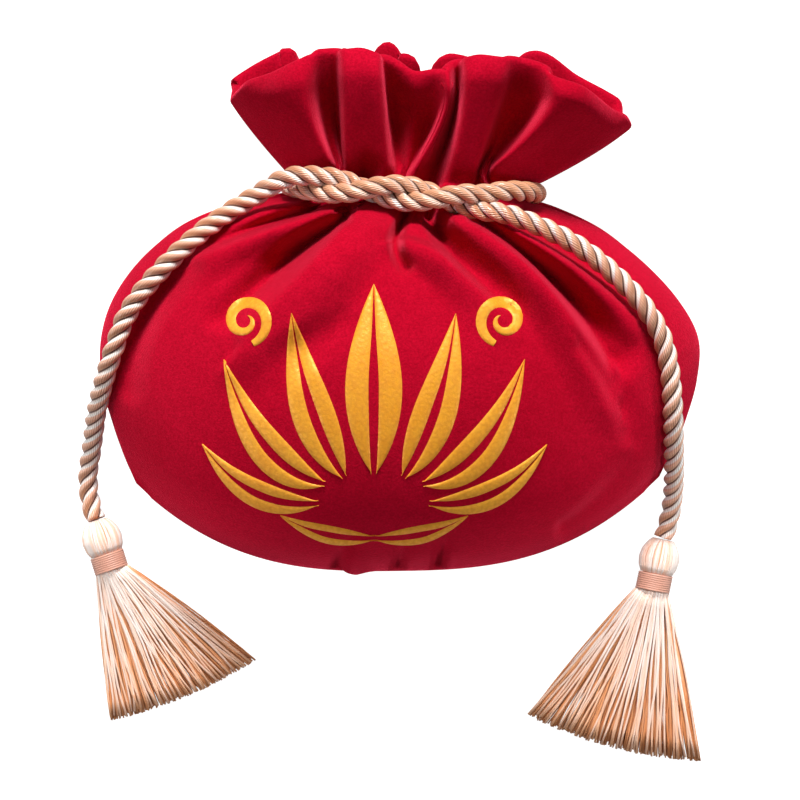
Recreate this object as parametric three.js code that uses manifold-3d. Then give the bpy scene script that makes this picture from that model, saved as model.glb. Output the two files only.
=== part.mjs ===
// A velvet drawstring pouch, filled, tied shut and lying on its back, with a cord that ends in two tassels.
// Units are millimetres and +Z is up. The floor is Z = 0, the ruffled mouth points to +Y, and +X is to the
// right of someone who looks down on the front. The origin is on the floor under the middle of the pouch.
import * as THREE from 'three';
import { mergeVertices } from 'three/addons/utils/BufferGeometryUtils.js';
import Module from 'manifold-3d';

const wasm = await Module();
wasm.setup();

// Cloth sizes
const CLOTH_THICKNESS = 2.0;
const SEAM_GAP = 0.3;
const FRONT_COLUMNS = 40;
const BACK_COLUMNS = 20;
const BACK_STEP_SHARE = 0.5;

// How much further the back of the mouth reaches than its front, over the last sections.
const BACK_OVERHANG = { reach: 6, sections: 2 };

// How round each side of a section is: a higher flatness keeps the middle level, a lower edge rounds the seam.
// The flatness goes over into mouthFlatness from the neck to the rim.
const FRONT_SHAPE = { flatness: 2.3, mouthFlatness: 5, edge: 0.78 };
const BACK_SHAPE = { flatness: 3.5, mouthFlatness: 3.5, edge: 0.66 };
// How a section bends from its middle to its side seams: 2 is an arc, and more keeps the middle straight.
const SEAM_CURVE = 2.8;

// One row for each section across the pouch, from the bottom seam to the rim of the mouth. x holds the X of
// the left and the right side seam, and y the Y at the left seam, half way across and at the right seam. seam
// is the seam's height, rise and drop are how far the front stands above it and the back hangs below it, and
// steps is how many rows of facets lead up to the next section.
const SECTIONS = [
  { name: 'bottom_seam', x: [-84, 82.6], y: [-55.6, -83, -53.4], seam: 14, rise: 0, drop: 0, steps: 2 },
  { name: 'bottom_turn', x: [-86, 84.6], y: [-51, -81.6, -49], seam: 14.5, rise: 10, drop: 10, steps: 2 },
  { name: 'bottom_curve', x: [-88.4, 87.8], y: [-45, -75.5, -43], seam: 15.5, rise: 23, drop: 16, steps: 2 },
  { name: 'low_belly', x: [-91.4, 91.2], y: [-36, -62.5, -34], seam: 17, rise: 36, drop: 18.5, steps: 2 },
  { name: 'belly', x: [-94.8, 94.4], y: [-23, -42, -22], seam: 18.5, rise: 44, drop: 20, steps: 2 },
  { name: 'widest', x: [-95, 94.8], y: [-9, -20, -9], seam: 19.5, rise: 46, drop: 21, steps: 3 },
  { name: 'high_belly', x: [-91, 88.6], y: [4, -1, 3], seam: 20, rise: 42.5, drop: 21, steps: 3 },
  { name: 'shoulder', x: [-82, 77.6], y: [16.5, 14.5, 15], seam: 20.5, rise: 35.5, drop: 20.5, steps: 3 },
  { name: 'high_shoulder', x: [-69.5, 64.5], y: [26.4, 23.5, 25], seam: 21, rise: 27, drop: 18, steps: 3 },
  { name: 'gathers', x: [-53, 50.5], y: [32.4, 29.5, 31.4], seam: 21, rise: 18.5, drop: 15.5, steps: 2 },
  { name: 'low_neck', x: [-33.5, 39], y: [36.6, 34, 35], seam: 21, rise: 14, drop: 13, steps: 2 },
  { name: 'neck', x: [-29, 37.2], y: [40, 39, 38], seam: 21, rise: 13.5, drop: 12.5, steps: 2 },
  { name: 'ruffle_base', x: [-34.6, 44], y: [44.4, 45, 41.4], seam: 20.5, rise: 15, drop: 14, steps: 3 },
  { name: 'low_ruffle', x: [-43, 56.5], y: [51.6, 55.5, 46.8], seam: 20, rise: 22, drop: 17, steps: 3 },
  { name: 'high_ruffle', x: [-49, 65.5], y: [59, 67, 52.2], seam: 20, rise: 28, drop: 19, steps: 4 },
  { name: 'rim', x: [-53.6, 72.8], y: [65.7, 77.5, 57.4], seam: 20, rise: 31.5, drop: 19, steps: 0 },
];
const NECK_SECTION = 11;

// One row for each fold of the front. path holds the fold's start, middle and end in the plan, going down from
// the rim or from the neck. left and right are how wide the fold is on either side of that line, at its start
// and at its end. out is how far it stands out at its start, middle and end, below 0 for a valley.
const FOLDS = [
  { name: 'left_lobe', path: [[-33, 73], [-30, 60.5], [-24, 46]],
    left: [13, 6], right: [5, 4.5], out: [4, 4, 2] },
  { name: 'left_dart', path: [[-22, 76], [-21.5, 61], [-18, 46]],
    left: [5, 4.5], right: [5, 4.5], out: [-6, -10, -6] },
  { name: 'flat_pleat', path: [[-12, 77], [-11.5, 62], [-9, 46]],
    left: [8, 6], right: [7, 5], out: [3, 3, 2] },
  { name: 'middle_dart', path: [[-1, 72], [0, 60], [0, 46]],
    left: [5, 4.5], right: [12, 5], out: [-7, -10, -5] },
  { name: 'middle_pleat', path: [[14, 71], [12, 60], [6, 46]],
    left: [5, 4.5], right: [5, 4.5], out: [4, 4, 2] },
  { name: 'narrow_dart', path: [[19, 72], [18, 60], [12, 45]],
    left: [5, 4.5], right: [5, 4.5], out: [-6, -9, -5] },
  { name: 'round_pleat', path: [[27, 75], [25, 62], [20, 45.5]],
    left: [6, 5], right: [7, 5], out: [4, 4, 2] },
  { name: 'right_dart', path: [[40, 73], [36.5, 60], [27, 46]],
    left: [7, 5], right: [7, 5], out: [-6, -10, -6] },
  { name: 'right_lobe', path: [[50, 68], [46.5, 59], [33, 45.5]],
    left: [5, 4.5], right: [12, 6], out: [4, 4, 2] },
  { name: 'outer_pleat', path: [[-31, 33], [-43.5, 30], [-60, 22]],
    left: [4, 5], right: [4, 6], out: [3, 2.5, 0.5] },
  { name: 'left_pleat', path: [[-21, 30], [-40, 24.6], [-64, 14.5]],
    left: [4, 6], right: [6, 9], out: [5, 6.5, 1] },
  { name: 'left_pocket', path: [[-17, 27], [-33, 15.5], [-54, -3]],
    left: [5, 8], right: [5, 8], out: [-7, -8, -3] },
  { name: 'middle_fall', path: [[-11, 30], [-22, 13.5], [-44, -9]],
    left: [5, 8], right: [14, 20], out: [3.5, 6, 2] },
  { name: 'curl_pocket', path: [[1.5, 29], [0, 21], [1.5, 13]],
    left: [5, 6], right: [5, 6], out: [-6, -7, -4] },
  { name: 'middle_fold', path: [[2, 20], [13, 14], [30, -3]],
    left: [8, 12], right: [6, 8], out: [4, 5, 1.5] },
  { name: 'right_crease', path: [[9, 29], [18.5, 17], [35, 1]],
    left: [5, 7], right: [6, 10], out: [-7, -7, -2.5] },
  { name: 'right_fall', path: [[23, 24], [42, 7.5], [66, -27]],
    left: [7, 14], right: [6, 9], out: [2, 7, 2.5] },
  { name: 'right_pocket', path: [[25, 27.5], [50, 7], [68, -17]],
    left: [6, 8], right: [6, 10], out: [-5, -7, -3] },
  { name: 'outer_fall', path: [[29, 29], [53, 15.5], [75, -2]],
    left: [5, 9], right: [4, 6], out: [3.5, 4, 1.5] },
];
const FOLD_SAMPLES = 20;
// The cord presses the folds flat where it is tied.
const PRESSED = { y: 37, reach: 6, share: 0.9 };
// Even folds of the back, which lift it off the floor from the neck to the rim.
const BACK_FOLDS = { count: 5, height: 5, fromY: 22, toY: 76 };
// The steps and limits at which the cloth's outward direction is measured.
const PROBE = { step: 0.02, edge: 0.95, start: 0.15 };
// The front's folds and the thickness of its wall stand square to the cloth before fromY, and straight up from
// toY on, except beside the side seams, where seam holds the shares of its width over which that fades out.
const UPRIGHT = { fromY: -55, toY: -35, seam: [0.1, 0.45] };
const UP = new THREE.Vector3(0, 0, 1);
// Folds fade out over this share of a panel's width beside each side seam, and over the lowest sections.
const SEAM_FADE = 0.14;
const BOTTOM_FADE = 1.2;

// Cord sizes. The left tail starts at the left tassel, and the right tail ends at the right one.
const CORD_DIAMETER = 6.4;
const CORD_SIDES = 8;
const CORD_STEPS = 70;
const CORD_LENGTH_SAMPLES = 1200;
const LEFT_TAIL = [
  [-97.8, -66.7, 6.7], [-99.3, -62.0, 6.0], [-100.2, -56.5, 5.8], [-100.1, -51.0, 7.2], [-98.9, -45.0, 10.6],
  [-97.6, -38.5, 15.6], [-96.2, -32.0, 21.4], [-94.2, -25.5, 27.2], [-91.8, -18.5, 32.2], [-89.0, -11.0, 35.4],
  [-86.0, -3.2, 37.0], [-81.0, 4.6, 38.4], [-74.0, 12.6, 39.8], [-65.0, 21.2, 40.2], [-55.5, 28.8, 37.8],
  [-45.0, 35.4, 37.0], [-34.5, 41.0, 40.0],
];
// Where the two strands turn once round each other, in front of the neck.
const TWIST = {
  start: { x: -22, y: 38.4 },
  end: { x: 25, y: 33 },
  crown: { x: 8, z: 44, sag: 0.003 },
  radius: 3.5,
  points: 9,
};
const NECK_LOOP = [
  [33.6, 36.8, 39.4], [40.0, 36.9, 32.8], [43.2, 37.1, 23.3], [40.2, 37.1, 13.7], [33.6, 37.3, 6.8],
  [25.0, 37.6, 4.2], [8.0, 38.2, 4.0], [-8.0, 39.0, 4.0], [-17.0, 39.5, 4.2], [-26.0, 40.0, 7.0],
  [-32.4, 40.3, 13.6], [-34.8, 39.7, 22.6], [-32.0, 38.2, 31.6],
];
const RIGHT_TAIL = [
  [33.0, 29.2, 46.0], [44.5, 24.8, 47.4], [55.5, 19.0, 47.0], [66.5, 10.4, 45.4], [75.2, 1.2, 44.6],
  [81.2, -8.6, 42.8], [83.9, -19.0, 40.6], [85.0, -28.0, 37.8], [85.7, -36.5, 33.2], [86.4, -44.5, 26.6],
  [87.0, -52.0, 19.2], [87.2, -58.2, 12.8], [86.9, -63.4, 9.0], [86.0, -68.2, 7.1], [84.7, -72.6, 6.7],
];

// Tassel sizes, along an axis that runs from the cord's end to the ends of the threads.
const HEAD = { topRadius: 3.4, radius: 6.5, length: 10.5, sides: 14 };
// How wide the head is along it, as shares of its length and of its radius.
const HEAD_BULGE = [
  { along: 0.2, width: 0.9 },
  { along: 0.45, width: 1 },
  { along: 0.74, width: 0.88 },
];
const CORE = { radius: 4.3, shoulder: 0.6, end: 2.1 };
const WRAP = { gap: 0.3, thickness: 0.9, length: 5.4, bulge: 0.3, sides: 16 };
const LOCKS = {
  count: 7,
  layers: 2,
  spread: 6,
  width: [2.8, 8.6],
  depth: [4.4, 2.4],
  sides: 6,
  steps: 3,
};
// One row for each tassel: the middle of its wrap, the turn of its head from straight down the plan, and the
// turn and the length of the two outer edges of its skirt.
const TASSELS = [
  { side: 'left', x: -93.4, y: -80.6, turn: 17.5, fan: [5, 53], length: [48, 51] },
  { side: 'right', x: 81.6, y: -87, turn: -12, fan: [-40, 11.5], length: [55, 55] },
];
const TASSEL_LIFT = 6.7;
const FLOOR_GAP = 0.2;
const LAYER_RISE = 0.8;

// Colours
const velvet = new THREE.MeshStandardMaterial({ color: 0xb00e28, roughness: 0.95, metalness: 0 });
const satin = new THREE.MeshStandardMaterial({ color: 0xd2a285, roughness: 0.4, metalness: 0 });
const threads = new THREE.MeshStandardMaterial({ color: 0xdfb494, roughness: 0.5, metalness: 0 });
const winding = new THREE.MeshStandardMaterial({ color: 0xc99a84, roughness: 0.5, metalness: 0 });

// Corners this near to each other are one.
const WELD = 1e-4;
const lastSection = SECTIONS.length - 1;

// A value of the section table at any place between its rows, on a smooth curve through them.
function sectionValue(read, along) {
  const at = THREE.MathUtils.clamp(along, 0, lastSection);
  const row = Math.min(Math.floor(at), lastSection - 1);
  const value = (index) => read(SECTIONS[THREE.MathUtils.clamp(index, 0, lastSection)]);
  const slopeHere = (value(row + 1) - value(row - 1)) / 2;
  const slopeNext = (value(row + 2) - value(row)) / 2;
  const t = at - row;
  const rest = 1 - t;
  return value(row) * rest * rest * (1 + 2 * t) + value(row + 1) * t * t * (3 - 2 * t)
    + slopeHere * t * rest * rest - slopeNext * t * t * rest;
}

// A point of the unfolded cloth. across runs from -1 at the left seam to 1 at the right seam.
function smoothPoint(across, along, side) {
  const s = Math.sin(across * Math.PI / 2);
  const [left, right] = [0, 1].map((i) => sectionValue((section) => section.x[i], along));
  const [yLeft, yMiddle, yRight] = [0, 1, 2].map((i) => sectionValue((section) => section.y[i], along));
  const pastStart = Math.max(along - lastSection + BACK_OVERHANG.sections, 0);
  const overhang = side > 0 ? 0 : BACK_OVERHANG.reach * pastStart / BACK_OVERHANG.sections;
  const bow = yMiddle + overhang - (yLeft + yRight) / 2;
  const shape = side > 0 ? FRONT_SHAPE : BACK_SHAPE;
  const reach = sectionValue((section) => (side > 0 ? section.rise : section.drop), along);
  const toMouth = THREE.MathUtils.smoothstep(along, NECK_SECTION, lastSection);
  const flatness = THREE.MathUtils.lerp(shape.flatness, shape.mouthFlatness, toMouth);
  const height = reach * Math.pow(Math.max(1 - Math.pow(Math.abs(s), flatness), 0), shape.edge);
  return new THREE.Vector3(
    THREE.MathUtils.lerp(left, right, (s + 1) / 2),
    THREE.MathUtils.lerp(yLeft, yRight, (s + 1) / 2) + bow * (1 - Math.pow(Math.abs(s), SEAM_CURVE)),
    sectionValue((section) => section.seam, along) + side * height,
  );
}

// The outward direction of the unfolded cloth, turned straight up where the front's folds stand up.
function outward(across, along, side) {
  const u = THREE.MathUtils.clamp(across, -PROBE.edge, PROBE.edge);
  const v = THREE.MathUtils.clamp(along, PROBE.start, lastSection - PROBE.step);
  const alongCloth = smoothPoint(u, v + PROBE.step, side).sub(smoothPoint(u, v - PROBE.step, side));
  const acrossCloth = smoothPoint(u + PROBE.step, v, side).sub(smoothPoint(u - PROBE.step, v, side));
  const direction = acrossCloth.cross(alongCloth).multiplyScalar(side).normalize();
  if (side < 0) {
    return direction;
  }
  const upright = THREE.MathUtils.smoothstep(smoothPoint(u, v, side).y, UPRIGHT.fromY, UPRIGHT.toY)
    * THREE.MathUtils.smoothstep(1 - Math.abs(across), ...UPRIGHT.seam);
  return direction.lerp(UP, upright).normalize();
}

// Each fold's line in the plan, as short straight steps.
const foldLines = FOLDS.map((fold) => {
  const [start, middle, end] = fold.path.map(([x, y]) => new THREE.Vector2(x, y));
  const pull = middle.clone().multiplyScalar(2).sub(start.clone().add(end).multiplyScalar(0.5));
  return new THREE.QuadraticBezierCurve(start, pull, end).getPoints(FOLD_SAMPLES);
});

// How far one fold moves the cloth at a place in the plan.
function foldHeight(fold, line, x, y) {
  let nearest = Infinity;
  let share = 0;
  let turn = 0;
  for (let i = 0; i < line.length - 1; i += 1) {
    const stepX = line[i + 1].x - line[i].x;
    const stepY = line[i + 1].y - line[i].y;
    const offX = x - line[i].x;
    const offY = y - line[i].y;
    const t = THREE.MathUtils.clamp((offX * stepX + offY * stepY) / (stepX * stepX + stepY * stepY), 0, 1);
    const distance = Math.hypot(offX - t * stepX, offY - t * stepY);
    if (distance < nearest) {
      nearest = distance;
      share = (i + t) / (line.length - 1);
      turn = stepX * offY - stepY * offX;
    }
  }
  const [widthStart, widthEnd] = turn > 0 ? fold.right : fold.left;
  const q = nearest / THREE.MathUtils.lerp(widthStart, widthEnd, share);
  if (q >= 1) {
    return 0;
  }
  const [start, middle, end] = fold.out;
  const out = share < 0.5
    ? THREE.MathUtils.lerp(start, middle, 2 * share)
    : THREE.MathUtils.lerp(middle, end, 2 * share - 1);
  return out * (1 - q * q) ** 2;
}

// How far all folds move the cloth of a panel at one of its points.
function folding(point, across, along, side) {
  const seamFade = THREE.MathUtils.smoothstep(1 - Math.abs(across), 0, SEAM_FADE);
  const bottomFade = THREE.MathUtils.smoothstep(along, 0, BOTTOM_FADE);
  const fromNeck = (point.y - PRESSED.y) / PRESSED.reach;
  const pressed = 1 - PRESSED.share * Math.exp(-fromNeck * fromNeck);
  let height = 0;
  if (side > 0) {
    FOLDS.forEach((fold, index) => {
      height += foldHeight(fold, foldLines[index], point.x, point.y);
    });
  } else {
    const wave = (1 - Math.cos(across * Math.PI * BACK_FOLDS.count)) / 2;
    height = -BACK_FOLDS.height * wave * THREE.MathUtils.smoothstep(point.y, BACK_FOLDS.fromY, BACK_FOLDS.toY);
  }
  return height * seamFade * bottomFade * pressed;
}

// The outer and inner surface of a panel at one place. Beside a seam the wall turns level, so that the two
// panels meet there edge to edge, and the outer face is flat where it rests on the floor.
function wall(across, along, side) {
  const point = smoothPoint(across, along, side);
  const direction = outward(across, along, side);
  const level = new THREE.Vector3(direction.x, direction.y, 0).normalize();
  const inside = THREE.MathUtils.smoothstep(1 - Math.abs(across), 0, SEAM_FADE)
    * THREE.MathUtils.smoothstep(along, 0, BOTTOM_FADE);
  const through = level.lerp(direction, inside).normalize();
  const outer = point.clone().addScaledVector(direction, folding(point, across, along, side));
  outer.z = Math.max(outer.z + side * SEAM_GAP / 2, 0);
  const inner = outer.clone().addScaledVector(through, -CLOTH_THICKNESS);
  if (side < 0) {
    inner.z = Math.max(inner.z, Math.min(CLOTH_THICKNESS, outer.z));
  }
  return { outer, inner };
}

// Where a panel's rows of facets lie along the section table.
function rowPlaces(stepShare) {
  const places = [];
  SECTIONS.forEach((section, index) => {
    const steps = Math.ceil(section.steps * stepShare);
    for (let step = 0; step < steps; step += 1) {
      places.push(index + step / steps);
    }
  });
  return [...places, lastSection];
}

// A panel as one closed wall: an outer and an inner sheet, joined round their edges.
function panelGeometry(side, columns, stepShare) {
  const places = rowPlaces(stepShare);
  const rows = places.length - 1;
  const positions = [];
  for (const place of places) {
    for (let column = 0; column <= columns; column += 1) {
      const { outer, inner } = wall(column / columns * 2 - 1, place, side);
      positions.push(...outer.toArray(), ...inner.toArray());
    }
  }
  const outerAt = (row, column) => 2 * (row * (columns + 1) + column);
  const innerAt = (row, column) => outerAt(row, column) + 1;
  const indices = [];
  const quad = (a, b, c, d) => {
    if (side > 0) {
      indices.push(a, b, c, a, c, d);
    } else {
      indices.push(a, c, b, a, d, c);
    }
  };
  for (let row = 0; row < rows; row += 1) {
    for (let column = 0; column < columns; column += 1) {
      const [up, next] = [row + 1, column + 1];
      const outer = [outerAt(row, column), outerAt(row, next), outerAt(up, next), outerAt(up, column)];
      const inner = [innerAt(row, column), innerAt(up, column), innerAt(up, next), innerAt(row, next)];
      // Facets are split along the folds, which lean the other way on the right half.
      if (column >= columns / 2) {
        outer.push(outer.shift());
        inner.push(inner.shift());
      }
      quad(...outer);
      quad(...inner);
    }
    quad(outerAt(row, 0), outerAt(row + 1, 0), innerAt(row + 1, 0), innerAt(row, 0));
    quad(outerAt(row + 1, columns), outerAt(row, columns), innerAt(row, columns), innerAt(row + 1, columns));
  }
  for (let column = 0; column < columns; column += 1) {
    quad(outerAt(0, column + 1), outerAt(0, column), innerAt(0, column), innerAt(0, column + 1));
    quad(outerAt(rows, column), outerAt(rows, column + 1), innerAt(rows, column + 1), innerAt(rows, column));
  }
  const geometry = new THREE.BufferGeometry();
  geometry.setAttribute('position', new THREE.Float32BufferAttribute(positions, 3));
  geometry.setIndex(indices);
  geometry.computeVertexNormals();
  return geometry;
}

// One of the two strands of the cord that turn round each other in front of the neck.
function twistStrand(startTurn) {
  const points = [];
  for (let i = 0; i < TWIST.points; i += 1) {
    const share = i / (TWIST.points - 1);
    const x = THREE.MathUtils.lerp(TWIST.start.x, TWIST.end.x, share);
    const y = THREE.MathUtils.lerp(TWIST.start.y, TWIST.end.y, share);
    const z = TWIST.crown.z - TWIST.crown.sag * (x - TWIST.crown.x) ** 2;
    const turn = startTurn - share * 2 * Math.PI;
    points.push([x, y + TWIST.radius * Math.cos(turn), z + TWIST.radius * Math.sin(turn)]);
  }
  return points;
}

function cordGeometry() {
  const route = [...LEFT_TAIL, ...twistStrand(0), ...NECK_LOOP, ...twistStrand(Math.PI), ...RIGHT_TAIL];
  const points = route.map((point) => new THREE.Vector3(...point));
  const path = new THREE.CatmullRomCurve3(points, false, 'centripetal');
  path.arcLengthDivisions = CORD_LENGTH_SAMPLES;
  const section = new THREE.Shape();
  for (let i = 0; i < CORD_SIDES; i += 1) {
    const turn = i / CORD_SIDES * 2 * Math.PI;
    const [x, y] = [CORD_DIAMETER / 2 * Math.cos(turn), CORD_DIAMETER / 2 * Math.sin(turn)];
    if (i === 0) {
      section.moveTo(x, y);
    } else {
      section.lineTo(x, y);
    }
  }
  section.closePath();
  return new THREE.ExtrudeGeometry(section, { steps: CORD_STEPS, extrudePath: path, curveSegments: 1 });
}

function toSolid(geometry) {
  const plain = geometry.clone();
  plain.deleteAttribute('normal');
  plain.deleteAttribute('uv');
  const merged = mergeVertices(plain, WELD);
  return new wasm.Manifold(new wasm.Mesh({
    numProp: 3,
    vertProperties: new Float32Array(merged.attributes.position.array),
    triVerts: new Uint32Array(merged.index.array),
  }));
}

function toGeometry(solid) {
  const mesh = solid.getMesh();
  const geometry = new THREE.BufferGeometry();
  geometry.setAttribute('position', new THREE.Float32BufferAttribute(mesh.vertProperties, 3));
  geometry.setIndex(Array.from(mesh.triVerts));
  geometry.computeVertexNormals();
  return geometry;
}

// Head and core of a tassel in one turned form, along -Y from the cord's end, with the wrap's middle at Y = 0.
function headGeometry() {
  const shoulder = WRAP.length / 2 + CORE.shoulder;
  const end = -WRAP.length / 2 - CORE.end;
  const top = shoulder + HEAD.length;
  const bulge = HEAD_BULGE.map(({ along, width }) => [HEAD.radius * width, shoulder + HEAD.length * along]);
  const core = [[0, end], [CORE.radius, end], [CORE.radius, shoulder]];
  const profile = [...core, ...bulge, [HEAD.topRadius, top], [0, top]];
  return new THREE.LatheGeometry(profile.map(([x, y]) => new THREE.Vector2(x, y)), HEAD.sides);
}

// One lock of threads, tapering from the core to the skirt's end, which lies on the floor.
function lockGeometry(place, turn, length, layer) {
  const ring = [];
  const start = new THREE.Vector3((place - 0.5) * LOCKS.spread, -WRAP.length / 2, 0);
  const fall = LOCKS.depth[1] * (0.5 + LAYER_RISE * layer) + FLOOR_GAP - TASSEL_LIFT;
  for (let step = 0; step <= LOCKS.steps; step += 1) {
    const share = step / LOCKS.steps;
    const halfWidth = THREE.MathUtils.lerp(...LOCKS.width, share) / 2;
    const halfDepth = THREE.MathUtils.lerp(...LOCKS.depth, share) / 2;
    const [x, y] = [start.x + Math.sin(turn) * length * share, start.y - Math.cos(turn) * length * share];
    const z = start.z + fall * Math.sqrt(share);
    for (let i = 0; i < LOCKS.sides; i += 1) {
      const angle = (i + 0.5) / LOCKS.sides * 2 * Math.PI;
      const sideways = Math.cos(angle) * halfWidth;
      ring.push(x + Math.cos(turn) * sideways, y + Math.sin(turn) * sideways, z + Math.sin(angle) * halfDepth);
    }
  }
  const indices = [];
  for (let step = 0; step < LOCKS.steps; step += 1) {
    for (let i = 0; i < LOCKS.sides; i += 1) {
      const [a, b] = [step * LOCKS.sides + i, step * LOCKS.sides + (i + 1) % LOCKS.sides];
      indices.push(a, b, b + LOCKS.sides, a, b + LOCKS.sides, a + LOCKS.sides);
    }
  }
  for (let i = 1; i < LOCKS.sides - 1; i += 1) {
    const last = LOCKS.steps * LOCKS.sides;
    indices.push(0, i + 1, i, last, last + i, last + i + 1);
  }
  const geometry = new THREE.BufferGeometry();
  geometry.setAttribute('position', new THREE.Float32BufferAttribute(ring, 3));
  geometry.setIndex(indices);
  return geometry;
}

function tasselGeometry(tassel) {
  let solid = toSolid(headGeometry());
  for (let layer = 0; layer < LOCKS.layers; layer += 1) {
    const count = LOCKS.count - layer;
    for (let i = 0; i < count; i += 1) {
      const share = (i + 0.5) / count;
      const turn = THREE.MathUtils.degToRad(THREE.MathUtils.lerp(...tassel.fan, share) - tassel.turn);
      const length = THREE.MathUtils.lerp(...tassel.length, share);
      solid = solid.add(toSolid(lockGeometry(share, turn, length, layer)));
    }
  }
  return toGeometry(solid);
}

function wrapGeometry() {
  const inner = CORE.radius + WRAP.gap;
  const outer = inner + WRAP.thickness;
  const middle = outer + WRAP.bulge;
  const half = WRAP.length / 2;
  const profile = [[inner, -half], [outer, -half], [middle, 0], [outer, half], [inner, half], [inner, -half]];
  return new THREE.LatheGeometry(profile.map(([x, y]) => new THREE.Vector2(x, y)), WRAP.sides);
}

function namedMesh(name, geometry, material) {
  const mesh = new THREE.Mesh(geometry, material);
  mesh.name = name;
  return mesh;
}

const pouch = new THREE.Group();
pouch.add(namedMesh('front_panel', panelGeometry(1, FRONT_COLUMNS, 1), velvet));
pouch.add(namedMesh('back_panel', panelGeometry(-1, BACK_COLUMNS, BACK_STEP_SHARE), velvet));
pouch.add(namedMesh('drawstring_cord', cordGeometry(), satin));
for (const tassel of TASSELS) {
  const placed = new THREE.Group();
  placed.position.set(tassel.x, tassel.y, TASSEL_LIFT);
  placed.rotation.z = THREE.MathUtils.degToRad(tassel.turn);
  placed.add(namedMesh(`${tassel.side}_tassel`, tasselGeometry(tassel), threads));
  placed.add(namedMesh(`${tassel.side}_tassel_wrap`, wrapGeometry(), winding));
  pouch.add(placed);
}

export default pouch;
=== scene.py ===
import math
import random

import bmesh
import bpy
import numpy as np
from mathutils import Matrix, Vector
from mathutils.bvhtree import BVHTree


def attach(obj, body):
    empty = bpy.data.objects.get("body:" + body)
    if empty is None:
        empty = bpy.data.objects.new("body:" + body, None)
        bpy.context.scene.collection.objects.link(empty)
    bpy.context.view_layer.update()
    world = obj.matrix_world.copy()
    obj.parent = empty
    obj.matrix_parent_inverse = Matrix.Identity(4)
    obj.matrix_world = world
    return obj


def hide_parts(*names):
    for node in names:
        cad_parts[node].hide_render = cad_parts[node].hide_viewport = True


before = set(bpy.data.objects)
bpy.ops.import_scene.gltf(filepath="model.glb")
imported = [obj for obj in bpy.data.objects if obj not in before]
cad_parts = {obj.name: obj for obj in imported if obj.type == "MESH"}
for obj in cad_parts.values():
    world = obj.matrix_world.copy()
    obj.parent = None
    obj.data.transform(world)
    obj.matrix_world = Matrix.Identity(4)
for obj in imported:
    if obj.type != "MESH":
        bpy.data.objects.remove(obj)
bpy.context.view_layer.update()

# The tables of the object's own sizes are in millimetres, and MM turns them into metres.
MM = 0.001
# Points nearer than this are one point, in metres.
WELD = 1e-6
TUBE_WELD = 1e-7
# Keeps a direction of no length from being divided by nothing.
TINY = 1e-9

# The camera looks straight down on the pouch, and sees this width of the floor.
CAMERA_PLACE = (0.0, -0.0284, 1.1)
VIEW_WIDTH = 0.2586
SENSOR = 36.0

# The floor is white to the camera, and glows less strongly on what lies on it.
FLOOR_GLOW = 0.15
FLOOR_HALF_WIDTH = 4.0
FLOOR_GREY = (0.4, 0.4, 0.4, 1)
ROOM_GLOW = 0.15
WHITE = (1, 1, 1, 1)
# Lights, in metres and watts. A fill and a spot stand on either side, placed here for the right.
WINDOW = dict(kind="AREA", place=(0, 1.2, 0.86), target=(0, 0, 0.03), settings=dict(
    shape="RECTANGLE", size=0.5, size_y=0.3, energy=34, color=(1.0, 0.985, 0.96)))
FILL = dict(kind="AREA", place=(0.42, -0.16, 0.16), target=(0.082, -0.05, 0.022), settings=dict(
    shape="RECTANGLE", size=0.2, size_y=0.2, energy=0.045, spread=math.radians(30)))
SPOT = dict(kind="SPOT", place=(0.16, 0.08, 0.5), target=(0.084, -0.09, 0.01), settings=dict(
    spot_size=math.radians(14), spot_blend=0.6, shadow_soft_size=0.03))
SPOT_POWER = dict(left=3.8, right=4.7)

# Colours of the finishes.
VELVET = dict(nap=(0.455, 0.0025, 0.0186, 1), light_nap=(0.57, 0.0042, 0.028, 1),
              roots=(0.26, 0.001, 0.009, 1), sheen=(1.0, 0.06, 0.13, 1))
GOLD = dict(leaf=(0.96, 0.37, 0.016, 1), light_leaf=(1.0, 0.47, 0.034, 1), pits=(0.62, 0.19, 0.008, 1))
# The cord's pale edge is a painted highlight along each ply's lit side. Its brown flank, the dark between
# its fine threads and the dark of its grooves are painted shade.
SATIN = dict(thread=(0.86, 0.38, 0.23, 1), light_thread=(1.0, 0.65, 0.48, 1), painted_shade_flank=(0.56, 0.21, 0.09, 1),
             painted_highlight_edge=(1.0, 1.0, 0.98, 1), tied=(0.76, 0.38, 0.21, 1), between=(0.42, 0.15, 0.05, 1),
             painted_groove_shade=(0.09, 0.02, 0.006, 1))
# The dark end of the tassel thread's colours is partly golden thread and partly painted shade between the
# pale yarns of the skirt.
TASSEL_THREAD = dict(dark=(0.62, 0.19, 0.04, 1), light=(0.92, 0.46, 0.23, 1), pale=(0.98, 0.85, 0.79, 1))
WRAP_THREAD = dict(dark=(0.37, 0.12, 0.08, 1), light=(0.66, 0.35, 0.26, 1), pale=(0.90, 0.70, 0.60, 1))
# Fine fibres round each thread of a tassel, and how far they slant.
FIBRES = 6.0
FIBRE_SLANT = 40.0

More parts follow.
